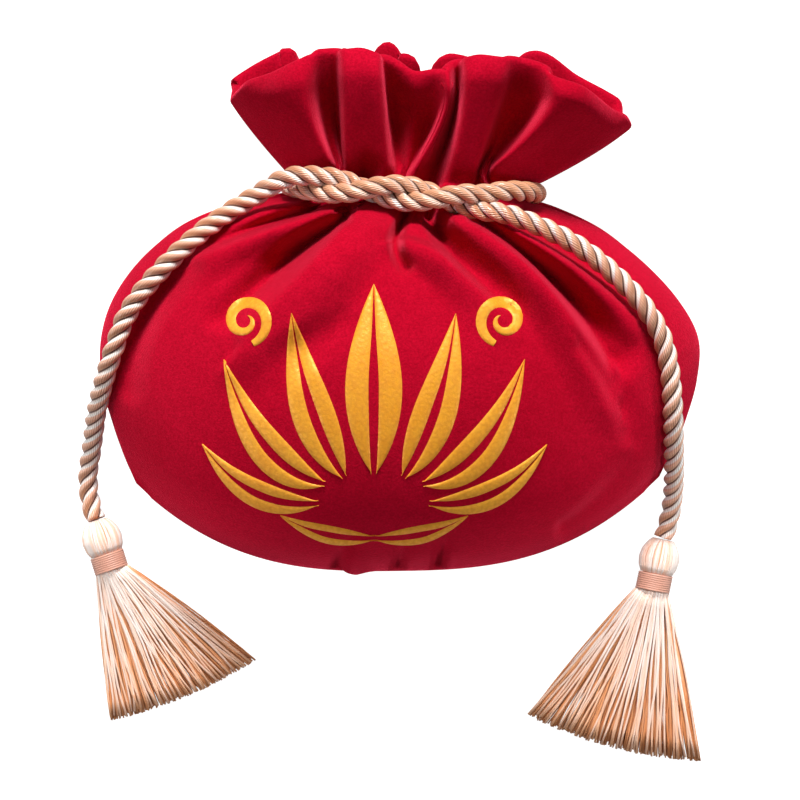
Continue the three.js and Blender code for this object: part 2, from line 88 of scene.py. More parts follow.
# Sections across the pouch, from the bottom seam to the rim of the mouth. Each row holds x at the left and
# right side seams, y at the left seam, half way across and at the right seam, the seam's height, how far the
# front stands above it and the back hangs below it, and how many rows of mesh lead to the next section.
SECTIONS = {
    "bottom_seam": (-84, 82.6, -55.6, -83, -53.4, 14, 0, 0, 10),
    "bottom_turn": (-86, 84.6, -51, -81.6, -49, 14.5, 10, 10, 8),
    "bottom_curve": (-88.4, 87.8, -45, -75.5, -43, 15.5, 23, 16, 9),
    "low_belly": (-91.4, 91.2, -36, -62.5, -34, 17, 36, 18.5, 10),
    "belly": (-94.8, 94.4, -23, -42, -22, 18.5, 44, 20, 11),
    "widest": (-95, 94.8, -9, -20, -9, 19.5, 46, 21, 12),
    "high_belly": (-91, 88.6, 4, -1, 3, 20, 42.5, 21, 12),
    "shoulder": (-82, 77.6, 16.5, 14.5, 15, 20.5, 35.5, 20.5, 13),
    "high_shoulder": (-69.5, 64.5, 26.4, 23.5, 25, 21, 27, 18, 9),
    "gathers": (-54, 50.5, 32.4, 29.5, 31.4, 21, 18.5, 15.5, 6),
    "low_neck": (-35.5, 39, 36.6, 34, 35, 21, 14, 13, 6),
    "neck": (-29, 37.2, 40, 39, 38, 21, 13.5, 12.5, 8),
    "ruffle_base": (-33.5, 44, 45, 45, 42, 20.5, 16, 14, 14),
    "low_ruffle": (-41, 60.5, 51.5, 53, 47.5, 20, 20, 17, 14),
    "high_ruffle": (-48, 69, 58.5, 66, 53, 19.5, 23.5, 19, 14),
    "rim": (-53, 72, 66.5, 80, 58.5, 19, 26, 19, 0),
}
SECTION_TABLE = np.array(list(SECTIONS.values()), float)
LAST_SECTION = len(SECTIONS) - 1
NECK_SECTION = list(SECTIONS).index("neck")
RUFFLE_SECTION = list(SECTIONS).index("ruffle_base")
FRONT_COLUMNS = 300
BACK_COLUMNS = 100
# How a section bends from its middle to its side seams: 2 is an arc, and more keeps the middle straight.
SEAM_CURVE = 2.8
# How flat a panel is over its middle, and how steeply it turns down to its seams.
FRONT_SHAPE = dict(flatness=2.3, edge=0.78)
BACK_SHAPE = dict(flatness=3.5, edge=0.66)
# The cloth gets thicker towards a round hem, from this share of the ruffle's height on.
CLOTH_THICKNESS = 1.6
HEM_THICKNESS = 3.6
HEM_FROM = 0.72
HEM_STEPS = 9
# The inner face has a row of mesh for every so many rows of the outer face.
LINING_STEP = 4
# The cloth within this reach of the two bottom corners is smoothed this many times.
CORNER = dict(reach=6, rounds=40, factor=0.5)

# Folds of the belly. Each row holds the fold's start, middle and end in the plan, going down from the neck,
# its widths to the left and to the right of that line, at its start and at its end, how far it stands out
# of the cloth at its start, middle and end, and 2 for a round fold or nearer 1 for a crease.
FOLDS = {
    "outer_pleat": (((-31, 33), (-43.5, 30), (-60, 22)), (2.5, 4), (4, 5), (6, 6, 1.5), 2),
    "outer_pocket": (((-26.4, 31.8), (-38.5, 27), (-62, 19)), (4, 6), (2.5, 3.5), (-6, -6, -1.5), 1.5),
    "left_pleat": (((-21, 30), (-40, 24.6), (-64, 14.5)), (2.5, 4), (7, 10), (9, 10, 3), 1.8),
    "left_pocket": (((-17, 28), (-33, 16.5), (-54, -3)), (5, 8), (3, 6), (-10, -11, -3.5), 1.5),
    "middle_fall": (((-13.2, 30.5), (-25, 14), (-46, -9)), (2.8, 6), (15, 20), (7, 8, 2.5), 2.4),
    "under_fall": (((-18, -5), (-31, -12.5), (-46, -24)), (7, 9), (9, 12), (-1, -3, -1), 1.8),
    "curl_pocket": (((1.5, 29), (-1.4, 20), (1.5, 12.5)), (2.5, 4), (3, 4), (-8, -11, -5), 1.5),
    "middle_fold": (((0, 20.5), (13, 15), (31, -2.5)), (8, 12), (2.6, 4), (5, 7, 1.5), 1.8),
    "right_crease": (((8.5, 29), (17, 16.5), (33, 1)), (3.5, 4), (6, 10), (-12, -11, -3), 1.5),
    "right_fall": (((18.5, 28.5), (43, 8), (66, -27)), (8, 14), (2.6, 4.5), (8, 10, 3), 1.8),
    "right_pocket": (((22.4, 28), (47.4, 8.6), (65.5, -15)), (2.6, 4), (5, 11), (-6, -11, -7), 1.5),
    "outer_fall": (((26.5, 29), (50, 14.4), (73, -4)), (4.5, 9), (2.6, 4), (7, 8, 3), 1.8),
    "outer_hollow": (((31, 28.5), (54, 16.6), (75, 0)), (2.6, 4), (5, 6), (-6, -6, -2), 1.5),
    "cord_hollow": (((-66, 12), (-80, -4), (-85, -24)), (7, 7), (7, 8), (-3, -4.5, -2), 1.6),
    "right_dip": (((56, -12), (64.5, -24), (71, -39)), (4, 5), (8, 9), (-3, -5, -1.5), 1.5),
    "bottom_pucker_1": (((-20, -83), (-19, -79), (-16, -72)), (3, 5), (3, 5), (-2.7, -1.6, -0.6), 1.3),
    "bottom_pucker_2": (((-14, -84), (-14, -80), (-12.5, -74)), (8, 6), (9, 7), (1.8, 1.4, 0.4), 1.4),
    "bottom_pucker_3": (((-1, -84), (0, -79), (3, -70)), (3, 5), (3, 5), (-2.7, -1.6, -0.6), 1.3),
    "bottom_pucker_4": (((12, -83), (13, -77), (15, -69)), (3, 5), (3, 5), (-3.3, -2, -0.6), 1.3),
    "corner_fold": (((52, -69), (61, -62), (70, -50)), (5, 7), (5, 7), (-2.4, -1.8, -0.9), 1.6),
}
FOLD_SAMPLES = 20
# The cord presses the folds flat round this place along Y.
PRESSED = dict(y=38, reach=5, share=0.9)
# Folds fade out over this share of the width at a side seam, and this many sections at the bottom.
SEAM_FADE = 0.14
BOTTOM_FADE = 0.8
# Folds below the first of these places along Y stand square to the cloth, and those above the second
# stand straight up.
UPRIGHT_FOLDS = (-55, -35)
# The slope of the cloth is read over this step, no nearer to the side seams and the bottom than this.
PROBE = dict(step=0.02, across=0.95, along=0.15)
# The ruffle's hollows go on under the cord, and end between these places along the section table.
HOLLOWS_END = (10.4, 11.2)
# The rim of the front curls back and down from this share of the ruffle's height on.
RIM_CURL = dict(start=0.76, back=2.0, down=3.6)
# Small gathers across the back, which grow between these places along Y.
BACK_GATHERS = dict(count=9, depth=1.8, grow=(0, 34))

# Ridges and hollows across the front of the ruffle, from the left seam to the right seam. Each row holds
# one's place at the neck, half way up and at the rim.
FRONT_PLEATS = {
    "left_seam": ((-36, 43.8, 20.5), (-46, 55.4, 20), (-53.6, 65.7, 20)),
    "left_hip": ((-34.8, 44.4, 26), (-42.4, 57.4, 29.5), (-48.5, 68.1, 37.5)),
    "left_lobe": ((-30, 45.6, 31), (-35.5, 60, 41.9), (-40, 70.7, 47)),
    "left_crest": ((-23.5, 46.3, 36.5), (-29.5, 61, 46.5), (-32, 74, 52)),
    "left_edge": ((-21.4, 46.6, 35), (-26.6, 61, 43.2), (-27.6, 75.4, 51.6)),
    "left_gully": ((-20.2, 46.4, 27), (-24.4, 60.8, 33.6), (-24.6, 76, 50.4)),
    "left_inner": ((-18.6, 46, 29), (-21.8, 60.2, 30.8), (-22.4, 76.2, 49.2)),
    "left_dart": ((-17.9, 45.8, 26), (-19.4, 60.8, 29.5), (-20, 76.3, 49)),
    "flat_left": ((-16.6, 45.5, 36.5), (-17.3, 62, 46.5), (-17.6, 77, 53.5)),
    "flat_middle": ((-11, 45.2, 30.5), (-11.3, 62.3, 47.8), (-11.8, 77.6, 54)),
    "flat_right": ((-4.5, 45.5, 36.5), (-5.2, 62, 46.5), (-6.4, 75.8, 53.5)),
    "middle_dart": ((-1, 45.5, 27), (-2.6, 61, 27.8), (-4.4, 74.2, 48)),
    "panel_left": ((2.3, 45.3, 28.5), (4, 61, 35.8), (4, 70.2, 48.2)),
    "panel_right": ((3.2, 45.3, 28), (9.6, 59.5, 32.9), (10.5, 69.8, 49.6)),
    "middle_ridge": ((6, 45.3, 36.5), (14, 60.5, 45), (14.6, 70.8, 52)),
    "narrow_dart": ((11.5, 44.6, 25), (16.8, 60.5, 27.5), (17.5, 72.6, 47.5)),
    "round_left": ((15.8, 45, 36), (19.3, 61.5, 46), (20.2, 74.6, 53)),
    "round_middle": ((20, 45.3, 37), (24, 62, 47.5), (25, 75.4, 54)),
    "round_right": ((24, 45.5, 35.5), (29, 61.5, 44), (32, 74.6, 52)),
    "pucker_hollow": ((25.6, 45.7, 28), (31.4, 60.5, 34.4), (35, 74.1, 50)),
    "right_pucker": ((26.8, 45.8, 30.5), (33.8, 60, 31.4), (37.4, 73.4, 49)),
    "right_hollow": ((28, 45.9, 27), (37.2, 60, 30.2), (40.4, 72.6, 48.8)),
    "right_dart": ((29.2, 46, 29), (41.2, 60, 34.6), (43.4, 71.6, 49.6)),
    "right_crest": ((31.2, 46, 36.5), (45.5, 60, 47), (48, 69.2, 52.5)),
    "right_lobe": ((36, 44.6, 33.5), (52.5, 56.5, 41.2), (57.5, 65.4, 51)),
    "right_turn": ((41.4, 42.8, 29.5), (58, 52.5, 33), (66.5, 60, 38.2)),
    "right_hip": ((44.8, 41.2, 26), (60.6, 50, 26.3), (71.2, 58.6, 30)),
    "right_seam": ((45.6, 40.8, 20.5), (61.2, 49.4, 20), (72.8, 57.4, 20.5)),
}
# The same across the back of the ruffle, which lies on the floor.
BACK_PLEATS = {
    "left_seam": ((-36, 43.8, 20.5), (-46, 55.4, 20), (-53.6, 65.7, 20)),
    "left_turn": ((-35, 44.4, 14), (-46, 57, 13), (-53.6, 69.6, 12)),
    "left_corner": ((-32, 45, 11), (-42.5, 60, 10), (-53, 72.4, 9)),
    "left_flap": ((-29.5, 45, 9), (-38.5, 62, 8), (-46.2, 77.4, 8)),
    "left_peak": ((-27, 45, 8), (-33.5, 63, 9), (-38, 81.4, 9)),
    "left_point": ((-26, 45, 8), (-32, 63, 9), (-36.4, 81.8, 9)),
    "left_fold": ((-22, 45, 10.5), (-27, 63, 4), (-32.6, 74.5, 4)),
    "left_floor": ((-17, 45, 7.5), (-19, 63, 3), (-20, 77.7, 2)),
    "nub_left": ((-12, 45, 10.5), (-12, 63, 6), (-8.6, 79.2, 6)),
    "nub": ((-7, 45, 7.5), (-6, 63, 9), (-3.6, 84.4, 10)),
    "nub_right": ((-4, 45, 9), (-2, 63, 9), (0.4, 80.8, 10)),
    "nub_shoulder": ((-1, 45, 10), (1, 63, 9), (3.0, 80.2, 11)),
    "middle_dip": ((2, 45, 7.5), (4, 62, 4), (5.6, 72.5, 5)),
    "middle_floor": ((7, 45, 10.5), (9, 62, 3), (11.4, 73.5, 3)),
    "second_nub": ((12, 45, 7.5), (14, 62, 6), (14.2, 80.4, 7)),
    "second_side": ((17, 45, 10.5), (19, 62, 6), (19, 80.8, 6)),
    "right_floor": ((22, 45, 7.5), (26, 62, 3), (29, 78.2, 2)),
    "right_fold": ((27, 44.5, 10.5), (33, 62, 4), (37.4, 79.6, 6)),
    "right_peak": ((32, 44, 8), (40, 61, 7), (42, 81.8, 9)),
    "right_top": ((34, 44, 8), (43, 60, 7), (46.8, 81, 9)),
    "right_flap": ((37, 43.5, 9), (48, 58, 6), (55.4, 75, 6)),
    "right_side": ((40.6, 43, 11), (56, 55, 9), (65.6, 69, 9)),
    "right_tip": ((42, 42.6, 13), (58.4, 53.4, 11), (70.2, 65.2, 10)),
    "right_turn": ((44.4, 41.6, 16), (61, 50.8, 15), (71, 59.8, 14)),
    "right_seam": ((45.6, 40.8, 20.5), (61.2, 49.4, 20), (72.8, 57.4, 20.5)),
}

# The gold ornament on the front is a lotus, the same on both sides of its middle line. path is a petal's
# start, middle and tip in the plan, sideways from that line and along Y.
ORNAMENT_MIDDLE = -8
PETALS = {
    "centre_petal": dict(path=((0, -51), (0, -22), (0, 7)), half_width=9.5),
    "inner_petal": dict(path=((9, -52), (19, -31), (25, -2)), half_width=7.2),
    "outer_petal": dict(path=((15, -54), (33, -43), (46, -16)), half_width=6.4),
    "low_petal": dict(path=((17, -60), (37, -57), (53, -42)), half_width=4.8),
    "stem_band": dict(path=((0, -71), (15, -70), (29, -64)), half_width=3.2),
}
PETAL_STEPS = 56
# A petal is widest nearer its start with a lower skew, and its ends are rounder with a lower taper.
PETAL_FORM = dict(skew=0.85, taper=0.9)
# The vein of bare velvet along a petal, and the shares of its length where it starts to narrow and ends.
VEIN = dict(half_width=0.75, narrows=0.45, ends=0.8)
# A curl on either side of the flower, wound inwards from its outer end, which is cut a little blunt.
CURL = dict(middle=(39.5, -4), radius=(7.6, 1.6), turns=1.35, start=250, half_width=2.1, steps=70,
            cut=0.04, skew=0.6, taper=0.7)
# How the gold lies on the cloth: its middle stands proud of it, and its edges are pressed into the pile.
LEAF = dict(proud=0.4, pressed=0.45, columns=8, square=4, least=0.05)
# The cloth under the gold is looked for from this height, in metres.
RAY_HEIGHT = 0.2

# The cord's route, from the left tassel to the right one.
CORD_DIAMETER = 6.5
LEFT_TAIL = [
    (-97.8, -66.7, 6.7), (-99.3, -62, 6), (-100.2, -56.5, 5.8), (-100.1, -51, 7.2),
    (-98.9, -45, 10.6), (-97.6, -38.5, 15.6), (-96.2, -32, 21.4), (-94.2, -25.5, 27.2),
    (-91.8, -18.5, 32.2), (-89, -11, 35.4), (-86, -3.2, 37), (-81, 4.6, 38.4),
    (-74, 12.6, 39.8), (-65, 21.2, 40.2), (-55.5, 28.8, 37.8), (-45, 35.4, 37),
    (-34.5, 41, 40),
]
# Two strands wind once round each other in front of the neck, along a line that bows down from a crown.
TWIST = dict(x=(-22, 25), y=(38.4, 33), crown=(8, 44), sag=0.003, radius=2.5, points=9)
NECK_LOOP = [
    (33.6, 36.8, 39.4), (40, 36.9, 32.8), (43.2, 37.1, 23.3), (40.2, 37.1, 13.7), (33.6, 37.3, 6.8),
    (25, 37.6, 4.2), (8, 38.2, 4), (-8, 39, 4), (-17, 39.5, 4.2), (-26, 40, 7),
    (-32.4, 40.3, 13.6), (-35, 39.7, 22.6), (-32.4, 38.2, 31.6),
]
RIGHT_TAIL = [
    (33, 29.2, 46), (44.5, 24.8, 47.4), (55.5, 19, 47), (66.5, 10.4, 45.4), (75.2, 1.2, 44.6),
    (81.2, -8.6, 42.8), (83.9, -19, 40.6), (85, -28, 37.8), (85.7, -36.5, 33.2),
    (86.4, -44.5, 26.6), (87, -52, 19.2), (87.2, -58.2, 12.8), (86.9, -63.4, 9),
    (86, -68.2, 7.1), (84.7, -72.6, 6.7),
]
# The three plies of the cord: how long one full turn is, and each ply's radius and place off the middle.
LAY = 16.7
PLIES = 3
PLY_RADIUS = 1.9
PLY_OFFSET = 1.38
CORD_STEP = 0.55
CORD_SIDES = 48
CURVE_STEPS = 40
# Threads round the cord, which lie along it, and how many turns its plies make from end to end.
CORD_THREADS = 28.0
CORD_TURNS = 33.8
# Where the groove with its painted shade, the pale edge that is a painted highlight and the brown flank that
# is painted shade lie across a ply, from 0 to 1.
PLY_GROOVE = 0.5
PLY_PAINTED_HIGHLIGHT = 0.7
PLY_PAINTED_SHADE_FLANK = 0.28
# The left tail ends and the right tail starts at these shares of the cord's length. Between them the cord is
# tied, and duller by this share.
LEFT_TAIL_TO = 0.33
RIGHT_TAIL_FROM = 0.72
TIED_SHARE = 0.55

# Tassels. x and y are the middle of the wrap, turn is how far the axis, from the cord's end to the ends of
# the threads, turns from -Y, and fan holds the directions of the skirt's two sides.
TASSELS = [
    dict(side="left", x=-93.4, y=-80.6, turn=17.5, fan=(5, 53), length=(48, 52), seed=11),
    dict(side="right", x=81.6, y=-87, turn=-12, fan=(-40, 11.5), length=(55, 56), seed=23),
]
TASSEL_LIFT = 6.7
HEAD_PROFILE = [
    dict(along=3.1, radius=5.0), dict(along=5.0, radius=6.0), dict(along=7.6, radius=6.4),
    dict(along=10.2, radius=6.0), dict(along=12.4, radius=4.8), dict(along=13.9, radius=3.5),
]
HEAD = dict(sides=24, tone=0.3)
HEAD_THREADS = dict(count=72, radius=0.38, sides=5, sunk=0.6, stray=0.25, lean=0.12, tone=(0.7, 1.2))
CORE = dict(down=(-4.2, 0.0, 2.4), radius=4.2, sides=20, tone=0.2)
WRAP = dict(radius=5.2, length=5.4, turns=8, thread=0.42, turn_steps=32, sides=8, tone=0.4)
# A tassel's skirt. heap is how high it lies, flat how much lower it is at its sides, cut how much shorter it
# is half way across, and fall how early a thread comes down. stray, ragged and thick are how threads differ
# in place, length and radius, and fade is how much darker their ends are.
SKIRT = dict(start=1.6, start_radius=4.6, least_room=0.2, clear=0.2, heap=4.0, flat=0.45, cut=0.045,
             fall=0.65, ripples=3, stray=0.03, ragged=(-1.2, 0.6), thick=(0.85, 1.15), fade=0.4,
             steps=9, sides=5)
# Fine golden threads inside the skirt, and paler yarns over them. The inner threads take the darker tones,
# partly their own golden colour and partly painted shade between and under the yarns.
THREADS = dict(count=420, radius=0.27, tone=(0.1, 0.6), bend=1.1, layer=(0.0, 0.92))
YARNS = dict(count=46, radius=0.38, tone=(0.8, 1.15), bend=1.5, layer=(0.94, 1.0))


def smooth_step(value, low, high):
    share = np.clip((value - low) / (high - low), 0, 1)
    return share * share * (3 - 2 * share)


def part_way(ends, share):
    return ends[0] + (ends[1] - ends[0]) * share


def unit(vectors):
    return vectors / np.maximum(np.linalg.norm(vectors, axis=-1), TINY)[..., None]


def smooth_curve(here, there, slope_here, slope_there, t):
    """Goes from one value to the next with these slopes, at a share t of the way."""
    rest = 1 - t
    return (here * rest * rest * (1 + 2 * t) + there * t * t * (3 - 2 * t)
            + slope_here * t * rest * rest - slope_there * t * t * rest)


def table_curve(table, at):
    """Values at places along the rows of a table, on a smooth curve through them."""
    last = len(table) - 1
    low = np.clip(np.floor(at).astype(int), 0, last - 1)
    here, there = table[low], table[low + 1]
    slope_here = (there - table[np.maximum(low - 1, 0)]) / 2
    slope_there = (table[np.minimum(low + 2, last)] - here) / 2
    t = (at - low).reshape(low.shape + (1,) * (table.ndim - 1))
    return smooth_curve(here, there, slope_here, slope_there, t)


def bow(path, steps):
    """A line in the plan that bows through a path's start, middle and end."""
    start, middle, end = (np.array(point, float) for point in path)
    t = np.linspace(0, 1, steps + 1)[:, None]
    pull = 2 * middle - (start + end) / 2
    return start * (1 - t) ** 2 + 2 * pull * t * (1 - t) + end * t * t


# Camera, floor and light
def make_camera():
    data = bpy.data.cameras.new("camera_above")
    data.sensor_width = SENSOR
    data.lens = SENSOR * CAMERA_PLACE[2] / VIEW_WIDTH
    camera = bpy.data.objects.new("camera_above", data)
    camera.location = CAMERA_PLACE
    bpy.context.collection.objects.link(camera)
    bpy.context.scene.camera = camera


def make_light(name, light, side, **settings):
    """A light where its row says, mirrored to the left where side is -1."""
    data = bpy.data.lights.new(name, light["kind"])
    for setting, value in {**light["settings"], **settings}.items():
        setattr(data, setting, value)
    place, target = (Vector((x * side, y, z)) for x, y, z in (light["place"], light["target"]))
    lamp = bpy.data.objects.new(name, data)
    lamp.location = place
    lamp.rotation_euler = (target - place).to_track_quat("-Z", "Y").to_euler()
    lamp.visible_camera = False
    bpy.context.collection.objects.link(lamp)


def make_floor():
    bm = bmesh.new()
    bmesh.ops.create_grid(bm, x_segments=1, y_segments=1, size=FLOOR_HALF_WIDTH)
    mesh = bpy.data.meshes.new("pale_floor")
    bm.to_mesh(mesh)
    bm.free()
    floor = bpy.data.objects.new("pale_floor", mesh)
    bpy.context.collection.objects.link(floor)
    material, nodes, shader = new_material(
        "pale_floor", Base_Color=FLOOR_GREY, Roughness=0.9, Specular_IOR_Level=0.1, Emission_Color=WHITE)
    seen = nodes.add("LightPath").outputs["Is Camera Ray"]
    nodes.feed(nodes.spread(seen, 0.0, 1.0, FLOOR_GLOW, 1.0), shader.inputs["Emission Strength"])
    mesh.materials.append(material)


def make_studio():
    make_floor()
    make_light("window_light", WINDOW, 1)
    for name, side in (("left", -1), ("right", 1)):
        make_light(f"{name}_fill", FILL, side)
        make_light(f"{name}_tassel_light", SPOT, side, energy=SPOT_POWER[name])
    world = bpy.data.worlds.new("white_room")
    world.use_nodes = True
    background = world.node_tree.nodes["Background"]
    background.inputs["Color"].default_value = WHITE
    background.inputs["Strength"].default_value = ROOM_GLOW
    scene = bpy.context.scene
    scene.world = world
    scene.view_settings.view_transform = "Standard"
    scene.view_settings.look = "None"


# Materials
class Nodes:
    """Adds and joins nodes in one node tree."""

    def __init__(self, tree):
        self.tree = tree

    def add(self, kind, **settings):
        node = self.tree.nodes.new("ShaderNode" + kind)
        for name, value in settings.items():
            setattr(node, name, value)
        return node

    def feed(self, source, socket):
        self.tree.links.new(source, socket)

    def fill(self, socket, value):
        """Gives an input a fixed value, or joins an output to it."""
        if isinstance(value, bpy.types.NodeSocket):
            self.feed(value, socket)
        else:
            socket.default_value = value

    def math(self, operation, *values):
        node = self.add("Math", operation=operation)
        for socket, value in zip(node.inputs, values):
            self.fill(socket, value)
        return node.outputs[0]

    def distance(self, value, place):
        return self.math("ABSOLUTE", self.math("SUBTRACT", value, place))

    def noise(self, vector, scale, detail, roughness=0.5):
        node = self.add("TexNoise")
        self.fill(node.inputs["Vector"], vector)
        self.fill(node.inputs["Scale"], scale)
        node.inputs["Detail"].default_value = detail
        node.inputs["Roughness"].default_value = roughness
        return node.outputs["Fac"]

    def spread(self, value, low, high, to_low=0.0, to_high=1.0):
        """Stretches the values from low to high over those from to_low to to_high."""
        node = self.add("MapRange")
        self.fill(node.inputs["Value"], value)
        for name, number in zip(("From Min", "From Max", "To Min", "To Max"), (low, high, to_low, to_high)):
            node.inputs[name].default_value = number
        return node.outputs[0]

    def mix(self, share, first, second):
        node = self.add("Mix", data_type="RGBA")
        for index, value in ((0, share), (6, first), (7, second)):
            self.fill(node.inputs[index], value)
        return node.outputs[2]

    def finish(self, shader, colour, height, distance, strength):
        """Gives a shader its colour and a fine relief."""
        relief = self.add("Bump")
        relief.inputs["Strength"].default_value = strength
        relief.inputs["Distance"].default_value = distance
        self.feed(height, relief.inputs["Height"])
        self.feed(relief.outputs["Normal"], shader.inputs["Normal"])
        self.feed(colour, shader.inputs["Base Color"])


def make_group(name, vector, numbers, results):
    """A shader node group with named sockets, and its node helper, input sockets and output sockets."""
    tree = bpy.data.node_groups.new(name, "ShaderNodeTree")
    tree.interface.new_socket(vector, in_out="INPUT", socket_type="NodeSocketVector")
    for in_out, sockets in (("INPUT", numbers), ("OUTPUT", results)):
        for socket in sockets:
            tree.interface.new_socket(socket, in_out=in_out, socket_type="NodeSocketFloat")
    given, result = tree.nodes.new("NodeGroupInput").outputs, tree.nodes.new("NodeGroupOutput").inputs
    return tree, Nodes(tree), given, result


def soft_patches_group():
    """Broad soft patches with finer ones in them, where pile or thread lies another way."""
    tree, nodes, given, result = make_group("soft_patches", "Vector", ("Scale", "Fine"), ("Patches",))
    fine_scale = nodes.math("MULTIPLY", given["Scale"], given["Fine"])
    broad = nodes.noise(given["Vector"], given["Scale"], detail=2.0)
    finer = nodes.noise(given["Vector"], fine_scale, detail=2.0)
    both = nodes.math("ADD", nodes.math("MULTIPLY", broad, 0.65), nodes.math("MULTIPLY", finer, 0.35))
    nodes.feed(nodes.spread(both, 0.32, 0.68), result["Patches"])
    return tree


def thread_lines_group():
    """Fine lines of thread side by side along a surface's UV map, each with its own tone."""
    tree, nodes, given, result = make_group("thread_lines", "UV", ("Threads", "Slant"), ("Ridge", "Tone"))
    parts = nodes.add("SeparateXYZ")
    nodes.feed(given["UV"], parts.inputs[0])
    slanted = nodes.math("ADD", nodes.math("MULTIPLY", parts.outputs[0], given["Threads"]),
                         nodes.math("MULTIPLY", parts.outputs[1], given["Slant"]))
    from_middle = nodes.distance(nodes.math("FRACT", slanted), 0.5)
    nodes.feed(nodes.spread(nodes.math("MULTIPLY", from_middle, from_middle), 0.25, 0.0), result["Ridge"])
    place = nodes.add("CombineXYZ")
    nodes.feed(nodes.math("FLOOR", slanted), place.inputs[0])
    nodes.feed(nodes.math("MULTIPLY", parts.outputs[1], 0.15), place.inputs[1])
    nodes.feed(nodes.noise(place.outputs[0], scale=1.7, detail=1.0), result["Tone"])
    return tree


def use_group(nodes, tree, **values):
    node = nodes.add("Group", node_tree=tree)
    for name, value in values.items():
        nodes.fill(node.inputs[name], value)
    return node.outputs


def new_material(name, **sockets):
    """A material, its node helper and its shader, with fixed values on the shader's own sockets."""
    material = bpy.data.materials.new(name)
    material.use_nodes = True
    shader = material.node_tree.nodes["Principled BSDF"]
    for socket, value in sockets.items():
        shader.inputs[socket.replace("_", " ")].default_value = value
    return material, Nodes(material.node_tree), shader


def make_velvet(soft_patches):
    material, nodes, shader = new_material(
        "crimson_velvet", Roughness=0.85, Sheen_Weight=0.9, Sheen_Roughness=0.4, Sheen_Tint=VELVET["sheen"],
        Specular_IOR_Level=0.0)
    place = nodes.add("TexCoord").outputs["Object"]
    patches = use_group(nodes, soft_patches, Vector=place, Scale=26.0, Fine=9.0)["Patches"]
    nap = nodes.mix(patches, VELVET["nap"], VELVET["light_nap"])
    pile = nodes.noise(place, scale=1300.0, detail=4.0, roughness=0.7)
    between = nodes.spread(pile, 0.38, 0.64, to_high=0.56)
    nodes.finish(shader, nodes.mix(between, nap, VELVET["roots"]), pile, distance=0.0006, strength=0.5)
    return material


def make_gold(soft_patches):
    material, nodes, shader = new_material("gold_leaf", Metallic=0.15, Specular_IOR_Level=0.5)
    place = nodes.add("TexCoord").outputs["Object"]
    patches = use_group(nodes, soft_patches, Vector=place, Scale=40.0, Fine=8.0)["Patches"]
    grain = nodes.add("TexVoronoi", feature="SMOOTH_F1")
    nodes.feed(place, grain.inputs["Vector"])
    grain.inputs["Scale"].default_value = 950.0
    speck = nodes.noise(place, scale=2400.0, detail=3.0, roughness=0.6)
    height = nodes.math("ADD", grain.outputs["Distance"], nodes.math("MULTIPLY", speck, 0.8))
    leaf = nodes.mix(patches, GOLD["leaf"], GOLD["light_leaf"])
    pits = nodes.spread(height, 0.55, 1.1, to_high=0.4)
    nodes.feed(nodes.spread(height, 0.4, 1.1, to_low=0.34, to_high=0.62), shader.inputs["Roughness"])
    nodes.finish(shader, nodes.mix(pits, leaf, GOLD["pits"]), height, distance=0.0004, strength=0.3)
    return material


def make_satin(thread_lines, soft_patches):
    material, nodes, shader = new_material(
        "satin_cord", Roughness=0.34, Sheen_Weight=0.05, Sheen_Roughness=0.3, Coat_Weight=0.6,
        Coat_Roughness=0.24)
    coords = nodes.add("TexCoord")
    lines = use_group(nodes, thread_lines, UV=coords.outputs["UV"], Threads=CORD_THREADS,
                      Slant=CORD_THREADS * CORD_TURNS)
    place = coords.outputs["Object"]
    patches = use_group(nodes, soft_patches, Vector=place, Scale=90.0, Fine=5.0)["Patches"]
    parts = nodes.add("SeparateXYZ")
    nodes.feed(coords.outputs["UV"], parts.inputs[0])
    around, along = parts.outputs[0], parts.outputs[1]
    ply = nodes.math("FRACT", nodes.math("MULTIPLY", around, float(PLIES)))
    # On the right tail the ply coordinate is mirrored, so that the painted highlight stays on the upper edge
    # of each ply, towards the light, on both tails.
    right_tail = nodes.math("GREATER_THAN", along, RIGHT_TAIL_FROM)
    highlight_side_flip = nodes.math("SUBTRACT", 1.0, nodes.math("MULTIPLY", ply, 2.0))
    ply = nodes.math("ADD", ply, nodes.math("MULTIPLY", right_tail, highlight_side_flip))
    thread = nodes.mix(lines["Tone"], SATIN["thread"], SATIN["light_thread"])
    # Painted shade: the brown flank on the side of each ply that faces away from the light.
    painted_shade_flank = nodes.spread(nodes.distance(ply, PLY_PAINTED_SHADE_FLANK), 0.3, 0.05, to_high=0.8)
    thread = nodes.mix(painted_shade_flank, thread, SATIN["painted_shade_flank"])
    # Painted highlight: a pale streak along the lit edge of each ply, stronger or weaker in soft patches.
    pale = nodes.math("MULTIPLY", nodes.spread(nodes.distance(ply, PLY_PAINTED_HIGHLIGHT), 0.17, 0.07),
                      nodes.spread(patches, 0.0, 0.8, to_low=0.7))
    thread = nodes.mix(pale, thread, SATIN["painted_highlight_edge"])
    tied = nodes.math("SUBTRACT", nodes.math("GREATER_THAN", along, LEFT_TAIL_TO), right_tail)
    thread = nodes.mix(nodes.math("MULTIPLY", tied, TIED_SHARE), thread, SATIN["tied"])
    # Painted shade between the fine threads, where the ridges of the thread lines dip.
    thread = nodes.mix(nodes.spread(lines["Ridge"], 0.6, 0.05, to_high=0.6), thread, SATIN["between"])
    # Painted shade deep in the grooves between the plies.
    painted_groove_shade = nodes.spread(nodes.distance(ply, PLY_GROOVE), 0.11, 0.03)
    thread = nodes.mix(painted_groove_shade, thread, SATIN["painted_groove_shade"])
    nodes.finish(shader, thread, lines["Ridge"], distance=0.0003, strength=0.7)
    return material


